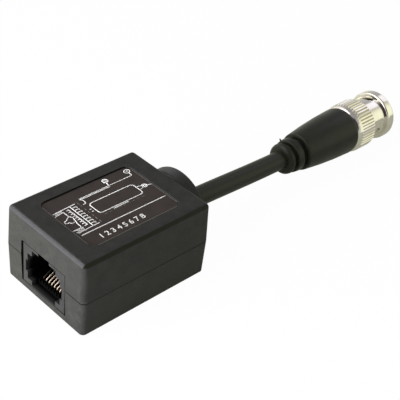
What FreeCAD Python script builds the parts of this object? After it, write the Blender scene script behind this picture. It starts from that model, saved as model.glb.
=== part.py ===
import FreeCAD, Part
import math
import os
import Sketcher

# In-line video adapter: a two-part housing with a modular socket at one end and
# a short coax pigtail with a bayonet plug at the other. X runs from the socket
# to the plug, Z is up, and the origin is under the middle of the housing.

SIZES = {
    "box_long": 38.4,
    "box_wide": 28.8,
    "box_tall": 20.6,
    "seam_height": 9.9,
    "top_draft_angle": 2.1,
    "base_draft_angle": 1.9,
    "corner_round": 1.5,
    "top_round": 1.1,
    "base_chamfer": 0.4,
    "wall": 1.6,
    "floor_thick": 1.2,
    "roof_thick": 1.9,
    "lip_tall": 1.0,
    "lip_thick": 0.75,
    "lip_gap": 0.05,
    "recess_long": 26.8,
    "recess_wide": 19.7,
    "recess_deep": 0.4,
    "recess_round": 2.0,
    "label_thick": 0.15,
    "label_gap": 0.12,
    "boss_foot": 0.1,
    "boss_long": 3.4,
    "boss_edge": 0.7,
    "jack_wide": 15.4,
    "jack_tall": 11.57,
    "jack_long": 16.0,
    "jack_base": 2.36,
    "jack_inset": 0.1,
    "gap_below": 0.25,
    "gap_above": 0.07,
    "gap_left": 0.65,
    "gap_right": 0.15,
    "socket_wide": 12.0,
    "socket_low": 1.84,
    "socket_high": 9.22,
    "socket_deep": 13.0,
    "side_wide": 13.4,
    "side_low": 3.82,
    "side_high": 6.99,
    "latch_wide": 8.7,
    "latch_high": 10.85,
    "key_wide": 4.0,
    "key_deep": 6.5,
    "channel_low": 0.5,
    "comb_start": 1.9,
    "comb_high": 1.74,
    "pin_span": 4.6,
    "wire_thick": 0.45,
    "wire_slot": 0.52,
    "wire_pitch": 1.016,
    "wire_low": 1.2,
    "hairpin_round": 0.55,
    "wire_bend": 0.7,
    "wire_front": 3.4,
    "wire_end": 10.2,
    "wire_rise": 6.5,
    "pin_row": 12.8,
    "pin_step": 1.8,
    "pin_drop": 0.95,
    "board_thick": 0.8,
    "board_start": 2.0,
    "board_back_gap": 6.4,
    "board_side_gap": 0.8,
    "rail_wide": 1.6,
    "rail_inset": 3.6,
    "hole_wide": 0.8,
    "core_place": 4.5,
    "core_out": 4.6,
    "core_in": 2.4,
    "core_tall": 3.2,
    "core_lift": 0.5,
    "winding_thick": 0.5,
    "winding_angle": 150.0,
    "cable_round": 2.6,
    "cable_bore": 2.66,
    "cable_height": 10.2,
    "cable_start": 4.6,
    "cable_bend": 5.0,
    "plug_reach": 36.96,
    "plug_height": 8.38,
    "plug_swing_angle": 1.6,
    "plug_droop_angle": 1.52,
    "collar_long": 2.4,
    "collar_round": 4.4,
    "dielectric_round": 1.45,
    "dielectric_long": 3.0,
    "wire_round": 0.35,
    "tail_long": 1.8,
    "boot_start": 4.3,
    "bulb_long": 1.67,
    "bulb_round": 4.45,
    "groove_one": 1.4,
    "groove_deep": 1.05,
    "ring_long": 2.08,
    "ring_round": 4.74,
    "groove_two": 1.8,
    "cone_long": 19.75,
    "cone_small": 5.3,
    "cone_big": 6.85,
    "cable_end": 12.0,
    "ferrule_long": 14.0,
    "ferrule_round": 3.3,
    "ferrule_bore": 2.75,
    "body_start": 27.0,
    "body_round": 4.4,
    "flange_start": 35.6,
    "flange_long": 1.4,
    "flange_round": 5.3,
    "sleeve_round": 4.05,
    "sleeve_bore": 3.5,
    "sleeve_end": 46.4,
    "sleeve_slot": 0.6,
    "sleeve_slit": 4.0,
    "gasket_long": 0.9,
    "gasket_round": 5.1,
    "gasket_bore": 4.35,
    "insulator_start": 36.0,
    "insulator_front": 41.5,
    "nose_round": 2.4,
    "nose_long": 2.1,
    "pin_round": 0.68,
    "pin_tip": 45.9,
    "nut_start": 31.2,
    "nut_small": 6.3,
    "nut_shoulder": 6.8,
    "nut_chamfer": 0.6,
    "knurl_start": 33.2,
    "knurl_round": 7.2,
    "knurl_long": 5.1,
    "knurl_chamfer": 0.35,
    "knurl_count": 48,
    "knurl_deep": 0.28,
    "neck_round": 6.05,
    "neck_end": 45.0,
    "rim_round": 7.1,
    "rim_fillet": 0.5,
    "nut_end": 47.8,
    "nut_lip": 1.8,
    "nut_lip_bore": 4.6,
    "nut_cavity": 5.6,
    "nut_cavity_end": 38.4,
    "nut_bore": 4.95,
    "lug_wide": 2.2,
    "lug_round": 5.75,
    "slot_start": 44.2,
    "slot_travel": 2.3,
    "slot_turn_angle": 12.0,
    "detent_round": 1.25,
    "washer_thick": 0.4,
    "washer_round": 5.4,
    "wave_thick": 1.0,
}


class Size:
    # A length that carries both its value and the formula that drives it.
    def __init__(self, value, text):
        self.value = value
        self.text = text

    def __add__(self, other):
        other = as_size(other)
        return Size(self.value + other.value, f"({self.text} + {other.text})")

    def __sub__(self, other):
        other = as_size(other)
        return Size(self.value - other.value, f"({self.text} - {other.text})")

    def __mul__(self, factor):
        return Size(self.value * factor, f"({self.text} * {factor})")

    def __truediv__(self, factor):
        return Size(self.value / factor, f"({self.text} / {factor})")

    def __neg__(self):
        return Size(-self.value, f"(0 - {self.text})")


def as_size(number):
    if isinstance(number, Size):
        return number
    return Size(number, str(number))


doc = FreeCAD.newDocument("VideoAdapter")
sheet = doc.addObject("Spreadsheet::Sheet", "Sizes")
for row, (name, number) in enumerate(SIZES.items(), start=1):
    sheet.set(f"A{row}", name)
    sheet.set(f"B{row}", str(number))
    sheet.setAlias(f"B{row}", name)
doc.recompute()


def cell(name):
    return Size(float(sheet.get(name)), f"Sizes.{name}")


zero = Size(0, "0")
nodes = []
setback = cell("boss_long") / 2


def new_body(name):
    body = doc.addObject("PartDesign::Body", name)
    body.Label = name
    body.setExpression("Placement.Base.x", (-setback).text)
    nodes.append(body)
    return body


def origin_plane(body, role):
    for feature in body.Origin.OriginFeatures:
        if feature.Role == role:
            return feature
    raise ValueError(role)


def new_sketch(body, name, role="XY_Plane", lift=zero):
    sketch = body.newObject("Sketcher::SketchObject", name)
    sketch.AttachmentSupport = [(origin_plane(body, role), "")]
    sketch.MapMode = "FlatFace"
    if lift is not zero:
        sketch.setExpression("AttachmentOffset.Base.z", lift.text)
    return sketch


def drive(sketch, kind, place, size):
    # A driven distance from the sketch origin, or a driven radius.
    if kind == "Radius":
        index = sketch.addConstraint(Sketcher.Constraint(kind, place, abs(size.value)))
    else:
        line, end = place
        index = sketch.addConstraint(
            Sketcher.Constraint(kind, -1, 1, line, end, size.value)
        )
    sketch.setExpression(f"Constraints[{index}]", size.text)


def outline(sketch, points):
    # A closed outline of straight lines through points given as pairs of sizes.
    points = [(as_size(x), as_size(y)) for x, y in points]
    first = None
    count = len(points)
    for index, (x, y) in enumerate(points):
        end_x, end_y = points[(index + 1) % count]
        line = sketch.addGeometry(
            Part.LineSegment(
                FreeCAD.Vector(x.value, y.value, 0),
                FreeCAD.Vector(end_x.value, end_y.value, 0),
            )
        )
        if first is None:
            first = line
    for index, (x, y) in enumerate(points):
        before = first + (index - 1) % count
        here = first + index
        sketch.addConstraint(Sketcher.Constraint("Coincident", before, 2, here, 1))
        drive(sketch, "DistanceX", (here, 1), x)
        drive(sketch, "DistanceY", (here, 1), y)


def round_box(sketch, half_long, half_wide, corner):
    # A rectangle about the origin with four equal rounded corners.
    x = half_long.value
    y = half_wide.value
    r = corner.value
    sides = [
        ((-x + r, -y), (x - r, -y)),
        ((x, -y + r), (x, y - r)),
        ((x - r, y), (-x + r, y)),
        ((-x, y - r), (-x, -y + r)),
    ]
    centres = [(x - r, -y + r), (x - r, y - r), (-x + r, y - r), (-x + r, -y + r)]
    lines = []
    for (start_x, start_y), (end_x, end_y) in sides:
        lines.append(
            sketch.addGeometry(
                Part.LineSegment(
                    FreeCAD.Vector(start_x, start_y, 0), FreeCAD.Vector(end_x, end_y, 0)
                )
            )
        )
    arcs = []
    for quarter, (centre_x, centre_y) in enumerate(centres):
        circle = Part.Circle(
            FreeCAD.Vector(centre_x, centre_y, 0), FreeCAD.Vector(0, 0, 1), r
        )
        start = math.radians(-90 + 90 * quarter)
        arcs.append(
            sketch.addGeometry(Part.ArcOfCircle(circle, start, start + math.pi / 2))
        )
    for index in range(4):
        line = lines[index]
        arc = arcs[index]
        sketch.addConstraint(Sketcher.Constraint("Tangent", line, 2, arc, 1))
        sketch.addConstraint(
            Sketcher.Constraint("Tangent", arc, 2, lines[(index + 1) % 4], 1)
        )
    for line, kind in zip(lines, ("Horizontal", "Vertical", "Horizontal", "Vertical")):
        sketch.addConstraint(Sketcher.Constraint(kind, line))
    for arc in arcs[1:]:
        sketch.addConstraint(Sketcher.Constraint("Equal", arcs[0], arc))
    drive(sketch, "Radius", arcs[0], corner)
    drive(sketch, "DistanceY", (lines[0], 1), -half_wide)
    drive(sketch, "DistanceX", (lines[1], 1), half_long)
    drive(sketch, "DistanceY", (lines[2], 1), half_wide)
    drive(sketch, "DistanceX", (lines[3], 1), -half_long)


def shift(feature, x=zero, y=zero, z=zero):
    for axis, size in (("x", x), ("y", y), ("z", z)):
        if size is not zero:
            feature.setExpression(f"Placement.Base.{axis}", size.text)


def block(body, name, x, y, z, cut=False):
    # A straight-sided block between pairs of sizes along each axis.
    kind = "SubtractiveBox" if cut else "AdditiveBox"
    feature = body.newObject(f"PartDesign::{kind}", name)
    feature.setExpression("Length", (x[1] - x[0]).text)
    feature.setExpression("Width", (y[1] - y[0]).text)
    feature.setExpression("Height", (z[1] - z[0]).text)
    shift(feature, x[0], y[0], z[0])
    return feature


def bar(body, name, x, radius, z=zero, y=zero, cut=False):
    # A round bar or bore that lies along X.
    kind = "SubtractiveCylinder" if cut else "AdditiveCylinder"
    feature = body.newObject(f"PartDesign::{kind}", name)
    feature.Placement.Rotation = FreeCAD.Rotation(FreeCAD.Vector(0, 1, 0), 90)
    feature.setExpression("Radius", radius.text)
    feature.setExpression("Height", (x[1] - x[0]).text)
    shift(feature, x[0], y, z)
    return feature


def pad(body, name, sketch, length, lean=None, down=False):
    feature = body.newObject("PartDesign::Pad", name)
    feature.Profile = sketch
    feature.setExpression("Length", length.text)
    feature.Reversed = down
    if lean is not None:
        feature.setExpression("TaperAngle", f"0 - {lean.text}")
    sketch.Visibility = False
    return feature


def pocket(body, name, sketch, length, up=False):
    feature = body.newObject("PartDesign::Pocket", name)
    feature.Profile = sketch
    feature.setExpression("Length", length.text)
    feature.Reversed = up
    sketch.Visibility = False
    return feature


def turned(body, name, points):
    # A piece turned about X from a half section given as stations and radii.
    sketch = new_sketch(body, f"{name}_section", "XZ_Plane")
    outline(sketch, points)
    feature = body.newObject("PartDesign::Revolution", name)
    feature.Profile = sketch
    feature.ReferenceAxis = (sketch, ["H_Axis"])
    feature.Angle = 360
    sketch.Visibility = False
    return feature


def edges_where(feature, test):
    doc.recompute()
    names = []
    for index, edge in enumerate(feature.Shape.Edges, start=1):
        if test(edge):
            names.append(f"Edge{index}")
    return names


def fillet(body, name, base, test, radius):
    names = edges_where(base, test)
    if not names:
        raise ValueError(f"{name} has no edges")
    feature = body.newObject("PartDesign::Fillet", name)
    feature.Base = (base, names)
    feature.setExpression("Radius", radius.text)
    return feature


def chamfer(body, name, base, test, size):
    feature = body.newObject("PartDesign::Chamfer", name)
    feature.Base = (base, edges_where(base, test))
    feature.setExpression("Size", size.text)
    return feature


def level(edge, height):
    return abs(edge.BoundBox.ZMin - height) < 0.01 and abs(edge.BoundBox.ZMax - height) < 0.01


# Stations along the housing.
half_long = cell("box_long") / 2
half_wide = cell("box_wide") / 2
seam = cell("seam_height")
wall = cell("wall")
roof = cell("box_tall") - cell("roof_thick")
front = -half_long
back = half_long
jack_front = front + cell("jack_inset")
jack_floor = cell("jack_base")
jack_roof = jack_floor + cell("jack_tall")
window_left = cell("jack_wide") / 2 + cell("gap_left")
window_right = -cell("jack_wide") / 2 - cell("gap_right")
board_front = front + cell("board_start")
board_end = back - cell("board_back_gap")
boss_end = back + cell("boss_long")


def half_boss(body, name, upper):
    # The round cable boss with a rounded rim, cut off at the seam.
    sketch = new_sketch(body, f"{name}_section", "XZ_Plane")
    radius = (cell("box_tall") - cell("boss_foot")) / 2
    middle = cell("box_tall") - radius
    sketch.setExpression("AttachmentOffset.Base.y", middle.text)
    root = back - wall / 2
    rim = cell("boss_edge")
    outline(
        sketch,
        [
            (root, zero),
            (root, radius),
            (boss_end - rim, radius),
            (boss_end - rim * 0.5, radius - rim * 0.134),
            (boss_end - rim * 0.134, radius - rim * 0.5),
            (boss_end, radius - rim),
            (boss_end, zero),
        ],
    )
    feature = body.newObject("PartDesign::Revolution", name)
    feature.Profile = sketch
    feature.ReferenceAxis = (sketch, ["H_Axis"])
    feature.Angle = 360
    sketch.Visibility = False
    reach = radius + 1
    away = (middle - reach, seam) if upper else (seam, middle + reach)
    block(body, f"{name}_seam", (root, boss_end + 1), (-reach, reach), away, cut=True)


def openings(body, name, low, high):
    # The socket window in the front wall and the cable bore at the back.
    block(
        body,
        f"{name}_window",
        (front - 1, front + wall + 1),
        (window_right, window_left),
        (low, high),
        cut=True,
    )
    bar(
        body,
        f"{name}_cable_bore",
        (back - wall * 2, boss_end + 1),
        cell("cable_bore"),
        cell("cable_height"),
        cut=True,
    )


# Lower shell: tapered tray with a locating lip and two rails for the board.
lower = new_body("lower_shell")
sketch = new_sketch(lower, "lower_outline", lift=seam)
round_box(sketch, half_long, half_wide, cell("corner_round"))
solid = pad(lower, "lower_solid", sketch, seam, cell("base_draft_angle"), down=True)
chamfer(lower, "lower_base_edge", solid, lambda e: level(e, 0), cell("base_chamfer"))
half_boss(lower, "lower_boss", upper=False)
sketch = new_sketch(lower, "lower_lip_outline", lift=seam)
lip = wall - cell("lip_thick")
round_box(sketch, half_long - lip, half_wide - lip, cell("corner_round") - lip / 2)
pad(lower, "lower_lip", sketch, cell("lip_tall"))
sketch = new_sketch(lower, "lower_cavity_outline", lift=seam + cell("lip_tall"))
round_box(sketch, half_long - wall, half_wide - wall, cell("corner_round") / 2)
pocket(lower, "lower_cavity", sketch, seam + cell("lip_tall") - cell("floor_thick"))
for side, name in ((-1, "right"), (1, "left")):
    middle = (half_wide - wall - cell("rail_inset")) * side
    block(
        lower,
        f"rail_{name}",
        (board_front + 1, board_end - 2),
        (middle - cell("rail_wide") / 2, middle + cell("rail_wide") / 2),
        (cell("floor_thick") - 0.1, jack_floor - cell("board_thick")),
    )
openings(lower, "lower", jack_floor - cell("gap_below"), seam + cell("lip_tall") + 1)

# Upper shell: tapered cover with a rebate for the lip and a label recess.
upper = new_body("upper_shell")
sketch = new_sketch(upper, "upper_outline", lift=seam)
round_box(sketch, half_long, half_wide, cell("corner_round"))
solid = pad(upper, "upper_solid", sketch, cell("box_tall") - seam, cell("top_draft_angle"))
crown = cell("box_tall").value
fillet(upper, "upper_top_edge", solid, lambda e: level(e, crown), cell("top_round"))
half_boss(upper, "upper_boss", upper=True)
sketch = new_sketch(upper, "recess_outline", lift=cell("box_tall"))
round_box(
    sketch, cell("recess_long") / 2, cell("recess_wide") / 2, cell("recess_round")
)
pocket(upper, "label_recess", sketch, cell("recess_deep"))
sketch = new_sketch(upper, "upper_cavity_outline", lift=seam)
round_box(sketch, half_long - wall, half_wide - wall, cell("corner_round") / 2)
pocket(upper, "upper_cavity", sketch, roof - seam, up=True)
sketch = new_sketch(upper, "rebate_outline", lift=seam)
rebate = lip - cell("lip_gap")
round_box(
    sketch, half_long - rebate, half_wide - rebate, cell("corner_round") - rebate / 2
)
pocket(upper, "lip_rebate", sketch, cell("lip_tall") + cell("lip_gap"), up=True)
openings(upper, "upper", seam - 1, jack_roof + cell("gap_above"))

# Label: a thin sheet that lies in the recess.
label = new_body("label")
sketch = new_sketch(label, "label_outline", lift=cell("box_tall") - cell("recess_deep"))
margin = cell("label_gap")
round_box(
    sketch,
    cell("recess_long") / 2 - margin,
    cell("recess_wide") / 2 - margin,
    cell("recess_round") - margin,
)
pad(label, "label_sheet", sketch, cell("label_thick"))

# Modular socket: housing with a stepped latch notch, side recesses and a
# channel for the contacts.
jack = new_body("jack_housing")
jack_half = cell("jack_wide") / 2
jack_back = jack_front + cell("jack_long")
block(jack, "jack_block", (jack_front, jack_back), (-jack_half, jack_half), (jack_floor, jack_roof))
socket_back = jack_front + cell("socket_deep")


def jack_cut(name, width, low, high, start, end):
    block(
        jack,
        name,
        (start, end),
        (-width / 2, width / 2),
        (jack_floor + low, jack_floor + high),
        cut=True,
    )


mouth = jack_front - 1
jack_cut("socket", cell("socket_wide"), cell("socket_low"), cell("socket_high"), mouth, socket_back)
jack_cut("side_recess", cell("side_wide"), cell("side_low"), cell("side_high"), mouth, socket_back)
jack_cut("latch_notch", cell("latch_wide"), cell("socket_low"), cell("latch_high"), mouth, socket_back)
jack_cut(
    "latch_key",
    cell("key_wide"),
    cell("socket_low"),
    cell("jack_tall") + 1,
    mouth,
    jack_front + cell("key_deep"),
)
jack_cut("contact_channel", cell("latch_wide"), cell("channel_low"), cell("socket_low") + 0.1, mouth, jack_back + 1)
pin_span_start = jack_back - cell("pin_span")
jack_cut("pin_window", cell("latch_wide"), zero - 1, cell("channel_low") + 0.1, pin_span_start, jack_back + 1)

# Contact comb: slotted block that holds the eight contact wires.
comb = new_body("contact_comb")
comb_half = cell("latch_wide") / 2
comb_start = jack_front + cell("comb_start")
block(
    comb,
    "comb_bar",
    (comb_start, jack_back),
    (-comb_half, comb_half),
    (jack_floor + cell("channel_low"), jack_floor + cell("comb_high")),
)
block(
    comb,
    "comb_foot",
    (pin_span_start, jack_back),
    (-comb_half, comb_half),
    (jack_floor, jack_floor + cell("channel_low") + 0.1),
)
wire_axis = jack_floor + cell("wire_low")
slot_floor = wire_axis - cell("wire_thick") / 2
row_one = jack_front + cell("pin_row")
row_two = row_one + cell("pin_step")
slot_half = cell("wire_slot") / 2
wires = 8
middle_wire = (wires + 1) / 2


def repeat(body, name, feature, length, count):
    pattern = body.newObject("PartDesign::LinearPattern", name)
    pattern.Originals = [feature]
    pattern.Direction = (origin_plane(body, "Y_Axis"), [""])
    pattern.setExpression("Length", length.text)
    pattern.Occurrences = count
    body.Tip = pattern
    return pattern


for name, row, first in (("one", row_one, 1), ("two", row_two, 2)):
    middle = cell("wire_pitch") * (first - middle_wire)
    slot = block(
        comb,
        f"slot_{name}",
        (comb_start - 1, row + cell("wire_slot") / 2),
        (middle - slot_half, middle + slot_half),
        (slot_floor, jack_floor + cell("comb_high") + 1),
        cut=True,
    )
    repeat(comb, f"slots_{name}", slot, cell("wire_pitch") * (wires - 2), wires // 2)
    hole = block(
        comb,
        f"pin_hole_{name}",
        (row - slot_half, row + slot_half),
        (middle - slot_half, middle + slot_half),
        (jack_floor - 1, slot_floor + 0.5),
        cut=True,
    )
    repeat(comb, f"pin_holes_{name}", hole, cell("wire_pitch") * (wires - 2), wires // 2)
    relief = block(
        comb,
        f"heel_relief_{name}",
        (row - cell("wire_bend"), row),
        (middle - slot_half, middle + slot_half),
        (wire_axis - cell("wire_bend"), slot_floor + 0.5),
        cut=True,
    )
    repeat(comb, f"heel_reliefs_{name}", relief, cell("wire_pitch") * (wires - 2), wires // 2)


def contact(number, row):
    # A square spring wire: pin, run along the comb, hairpin and sprung end.
    body = new_body(f"contact_{number}")
    shift(body, y=cell("wire_pitch") * (number - middle_wire))
    path = new_sketch(body, f"contact_path_{number}", "XZ_Plane")
    low = jack_floor - cell("pin_drop")
    bend = cell("wire_bend")
    turn = cell("hairpin_round")
    turn_x = jack_front + cell("wire_front")
    end_x = jack_front + cell("wire_end")
    end_z = jack_floor + cell("wire_rise")
    x = row.value
    z = wire_axis.value
    r = bend.value
    pin = path.addGeometry(
        Part.LineSegment(FreeCAD.Vector(x, low.value, 0), FreeCAD.Vector(x, z - r, 0))
    )
    corner = Part.Circle(FreeCAD.Vector(x - r, z - r, 0), FreeCAD.Vector(0, 0, 1), r)
    heel = path.addGeometry(Part.ArcOfCircle(corner, 0, math.pi / 2))
    run = path.addGeometry(
        Part.LineSegment(FreeCAD.Vector(x - r, z, 0), FreeCAD.Vector(turn_x.value, z, 0))
    )
    loop = Part.Circle(
        FreeCAD.Vector(turn_x.value, z + turn.value, 0), FreeCAD.Vector(0, 0, 1), turn.value
    )
    rise = end_z.value - z - turn.value
    reach = end_x.value - turn_x.value
    span = math.hypot(rise, reach)
    slope = math.atan2(rise, reach) - math.asin(turn.value / span)
    hairpin = path.addGeometry(
        Part.ArcOfCircle(loop, math.pi / 2 + slope, 3 * math.pi / 2)
    )
    top_x = turn_x.value - turn.value * math.sin(slope)
    top_z = z + turn.value + turn.value * math.cos(slope)
    spring = path.addGeometry(
        Part.LineSegment(
            FreeCAD.Vector(top_x, top_z, 0), FreeCAD.Vector(end_x.value, end_z.value, 0)
        )
    )
    path.addConstraint(Sketcher.Constraint("Tangent", pin, 2, heel, 1))
    path.addConstraint(Sketcher.Constraint("Tangent", heel, 2, run, 1))
    path.addConstraint(Sketcher.Constraint("Tangent", run, 2, hairpin, 2))
    path.addConstraint(Sketcher.Constraint("Tangent", hairpin, 1, spring, 1))
    path.addConstraint(Sketcher.Constraint("Vertical", pin))
    path.addConstraint(Sketcher.Constraint("Horizontal", run))
    drive(path, "DistanceX", (pin, 1), row)
    drive(path, "DistanceY", (pin, 1), low)
    drive(path, "Radius", heel, bend)
    drive(path, "DistanceY", (run, 2), wire_axis)
    drive(path, "Radius", hairpin, turn)
    drive(path, "DistanceX", (hairpin, 3), turn_x)
    drive(path, "DistanceX", (spring, 2), end_x)
    drive(path, "DistanceY", (spring, 2), end_z)
    section = new_sketch(body, f"contact_section_{number}", lift=low)
    half = cell("wire_thick") / 2
    outline(section, [(row - half, -half), (row + half, -half), (row + half, half), (row - half, half)])
    feature = body.newObject("PartDesign::AdditivePipe", f"contact_wire_{number}")
    feature.Profile = section
    feature.Spine = (path, ["Edge1", "Edge2", "Edge3", "Edge4", "Edge5"])
    section.Visibility = False
    path.Visibility = False


for number in range(1, wires + 1):
    contact(number, row_one if number % 2 else row_two)

# Circuit board under the socket, drilled for the contact pins.
board = new_body("circuit_board")
board_half = half_wide - wall - cell("board_side_gap")
block(
    board,
    "board_sheet",
    (board_front, board_end),
    (-board_half, board_half),
    (jack_floor - cell("board_thick"), jack_floor),
)
for name, row, first in (("one", row_one, 1), ("two", row_two, 2)):
    hole = board.newObject("PartDesign::SubtractiveCylinder", f"drill_{name}")
    hole.setExpression("Radius", (cell("hole_wide") / 2).text)
    hole.setExpression("Height", (cell("board_thick") + 2).text)
    drill_y = cell("wire_pitch") * (first - middle_wire)
    shift(hole, row, drill_y, jack_floor - cell("board_thick") - 1)
    repeat(board, f"drills_{name}", hole, cell("wire_pitch") * (wires - 2), wires // 2)


# Balun transformer: ferrite ring with two windings, standing on the board.
core_low = jack_floor + cell("winding_thick")
core_high = core_low + cell("core_tall")
core_x = cell("core_place")
core = new_body("balun_core")
shift(core, x=core_x - setback)
thick = cell("winding_thick")
inner = cell("core_in")
outer = cell("core_out")
core_section = [(inner, core_low), (outer, core_low), (outer, core_high), (inner, core_high)]
sketch = new_sketch(core, "core_section", "XZ_Plane")
outline(sketch, core_section)
feature = core.newObject("PartDesign::Revolution", "core_ring")
feature.Profile = sketch
feature.ReferenceAxis = (sketch, ["V_Axis"])
feature.Angle = 360
sketch.Visibility = False
for name, start in (("winding_a", 15), ("winding_b", 195)):
    winding = new_body(name)
    winding.Placement.Rotation = FreeCAD.Rotation(FreeCAD.Vector(0, 0, 1), start)
    shift(winding, x=core_x - setback)
    sketch = new_sketch(winding, f"{name}_section", "XZ_Plane")
    outline(
        sketch,
        [
            (inner - thick, jack_floor),
            (outer + thick, jack_floor),
            (outer + thick, core_high + thick),
            (inner - thick, core_high + thick),
        ],
    )
    outline(sketch, core_section)
    feature = winding.newObject("PartDesign::Revolution", f"{name}_turns")
    feature.Profile = sketch
    feature.ReferenceAxis = (sketch, ["V_Axis"])
    feature.setExpression("Angle", cell("winding_angle").text)
    sketch.Visibility = False

# Cable anchor inside the housing and the stripped cable end.
cable_z = cell("cable_height")
inside = back - wall
collar = new_body("cable_collar")
shift(collar, z=cable_z)
turned(
    collar,
    "collar_ring",
    [
        (inside - cell("collar_long"), cell("cable_round")),
        (inside, cell("cable_round")),
        (inside, cell("collar_round")),
        (inside - cell("collar_long") + 0.4, cell("collar_round")),
        (inside - cell("collar_long"), cell("collar_round") - 0.4),
    ],
)
cable_head = inside - cell("cable_start")
dielectric = new_body("cable_dielectric")
bar(dielectric, "dielectric_bar", (cable_head - cell("dielectric_long"), cable_head), cell("dielectric_round"), cable_z)
tail = new_body("cable_wire")
tail_start = cable_head - cell("dielectric_long")
bar(tail, "wire_bar", (tail_start - cell("tail_long"), tail_start), cell("wire_round"), cable_z)

# Free cable: straight runs joined by tangent arcs.
bend_x = back + cell("cable_bend")
swing = math.radians(cell("plug_swing_angle").value)
droop = math.radians(cell("plug_droop_angle").value)
plug_axis = FreeCAD.Vector(
    math.cos(droop) * math.cos(swing), math.cos(droop) * math.sin(swing), -math.sin(droop)
)
plug_point = FreeCAD.Vector((back + cell("plug_reach")).value, 0, cell("plug_height").value)
route = [
    FreeCAD.Vector(cable_head.value, 0, cable_z.value),
    FreeCAD.Vector(bend_x.value, 0, cable_z.value),
    plug_point,
    plug_point + plug_axis * cell("cable_end").value,
]


def smooth_route(points):
    edges = []
    here = points[0]
    for before, corner, after in zip(points, points[1:], points[2:]):
        arriving = corner - before
        leaving = after - corner
        turn = arriving.getAngle(leaving)
        cut = 0.45 * min(arriving.Length, leaving.Length)
        radius = cut / math.tan(turn / 2)
        print(f"cable bend radius {radius:.1f} mm, turn {math.degrees(turn):.2f} degrees")
        arriving.normalize()
        leaving.normalize()
        start = corner - arriving * cut
        end = corner + leaving * cut
        inward = (leaving - arriving).normalize()
        middle = corner + inward * (radius / math.cos(turn / 2) - radius)
        edges.append(Part.LineSegment(here, start).toShape())
        edges.append(Part.Arc(start, middle, end).toShape())
        here = end
    edges.append(Part.LineSegment(here, points[-1]).toShape())
    return Part.Wire(edges)


centreline = smooth_route(route)
section = Part.Wire(
    Part.Circle(route[0], FreeCAD.Vector(1, 0, 0), cell("cable_round").value).toShape()
)
cable = doc.addObject("Part::Feature", "cable")
cable.Label = "cable"
cable.Shape = centreline.makePipeShell([section], True, True)
cable.setExpression("Placement.Base.x", (-setback).text)
nodes.append(cable)
expected = math.pi * cell("cable_round").value ** 2 * centreline.Length
print(f"cable length {centreline.Length:.2f} mm, volume ratio {cable.Shape.Volume / expected:.4f}")


def plug_body(name):
    # A piece on the plug's own axis, which is swung and dips a little.
    body = new_body(name)
    body.setExpression(
        "Placement",
        "placement(vector("
        + (back + cell("plug_reach") - setback).text
        + "; 0; Sizes.plug_height); rotation(Sizes.plug_swing_angle; Sizes.plug_droop_angle; 0))",
    )
    return body


# Moulded boot: rounded bulb, two ring grooves and a long flared grip.
boot = plug_body("boot")
cable_r = cell("cable_round")
start = cell("boot_start")
bulb = cell("bulb_long")
bulb_r = cell("bulb_round")
bulb_end = start + bulb
ring_start = bulb_end + cell("groove_one")
ring_end = ring_start + cell("ring_long")
cone_start = ring_end + cell("groove_two")
cone_end = cone_start + cell("cone_long")
deep = cell("groove_deep")
ring_r = cell("ring_round")
small = cell("cone_small")
big = cell("cone_big")
swell = big - small
outer = [
    (start, cable_r),
    (start + bulb * 0.05, cable_r + (bulb_r - cable_r) * 0.42),
    (start + bulb * 0.16, cable_r + (bulb_r - cable_r) * 0.68),
    (start + bulb * 0.46, cable_r + (bulb_r - cable_r) * 0.9),
    (bulb_end, bulb_r),
    (bulb_end, bulb_r - deep),
    (ring_start, bulb_r - deep),
    (ring_start, ring_r - 0.12),
    (ring_end, ring_r + 0.12),
    (ring_end, ring_r - deep),
    (cone_start, ring_r - deep),
    (cone_start, small),
    (cone_start + cell("cone_long") * 0.33, small + swell * 0.5),
    (cone_start + cell("cone_long") * 0.63, small + swell * 0.81),
    (cone_start + cell("cone_long") * 0.95, big),
    (cone_end, big - 0.2),
]
grip_bore = cell("ferrule_round")
body_r = cell("body_round")
ferrule_start = cell("cable_end") - 1
body_start = cell("body_start")
bore = [
    (cone_end, body_r),
    (body_start, body_r),
    (body_start, grip_bore),
    (ferrule_start, grip_bore),
    (ferrule_start, cable_r),
]
turned(boot, "boot_grip", outer + bore)

# Crimp ferrule over the cable end.
ferrule = plug_body("crimp_ferrule")
turned(
    ferrule,
    "ferrule_tube",
    [
        (ferrule_start, cable_r),
        (cell("cable_end"), cable_r),
        (cell("cable_end"), cell("dielectric_round")),
        (body_start, cell("dielectric_round")),
        (body_start, grip_bore),
        (ferrule_start, grip_bore),
    ],
)

# Plug body: rear barrel, collar and slotted contact sleeve.
plug = plug_body("plug_body")
collar_start = cell("flange_start")
collar_end = collar_start + cell("flange_long")
gasket_end = collar_end + cell("gasket_long")
gasket_in = cell("gasket_bore")
sleeve_r = cell("sleeve_round")
sleeve_in = cell("sleeve_bore")
sleeve_end = cell("sleeve_end")
pin_r = cell("pin_round")
turned(
    plug,
    "plug_barrel",
    [
        (body_start, cell("dielectric_round")),
        (cell("insulator_start"), cell("dielectric_round")),
        (cell("insulator_start"), sleeve_in),
        (sleeve_end, sleeve_in),
        (sleeve_end, sleeve_r - 0.15),
        (sleeve_end - 0.3, sleeve_r),
        (gasket_end, sleeve_r),
        (gasket_end, gasket_in),
        (collar_end, gasket_in),
        (collar_end, cell("flange_round")),
        (collar_start, cell("flange_round")),
        (collar_start, body_r),
        (body_start, body_r),
    ],
)
slit_half = cell("sleeve_slot") / 2
for name, along_y in (("slit_level", True), ("slit_upright", False)):
    wide = (-sleeve_r - 1, sleeve_r + 1)
    thin = (-slit_half, slit_half)
    block(
        plug,
        name,
        (sleeve_end - cell("sleeve_slit"), sleeve_end + 1),
        wide if along_y else thin,
        thin if along_y else wide,
        cut=True,
    )

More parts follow.
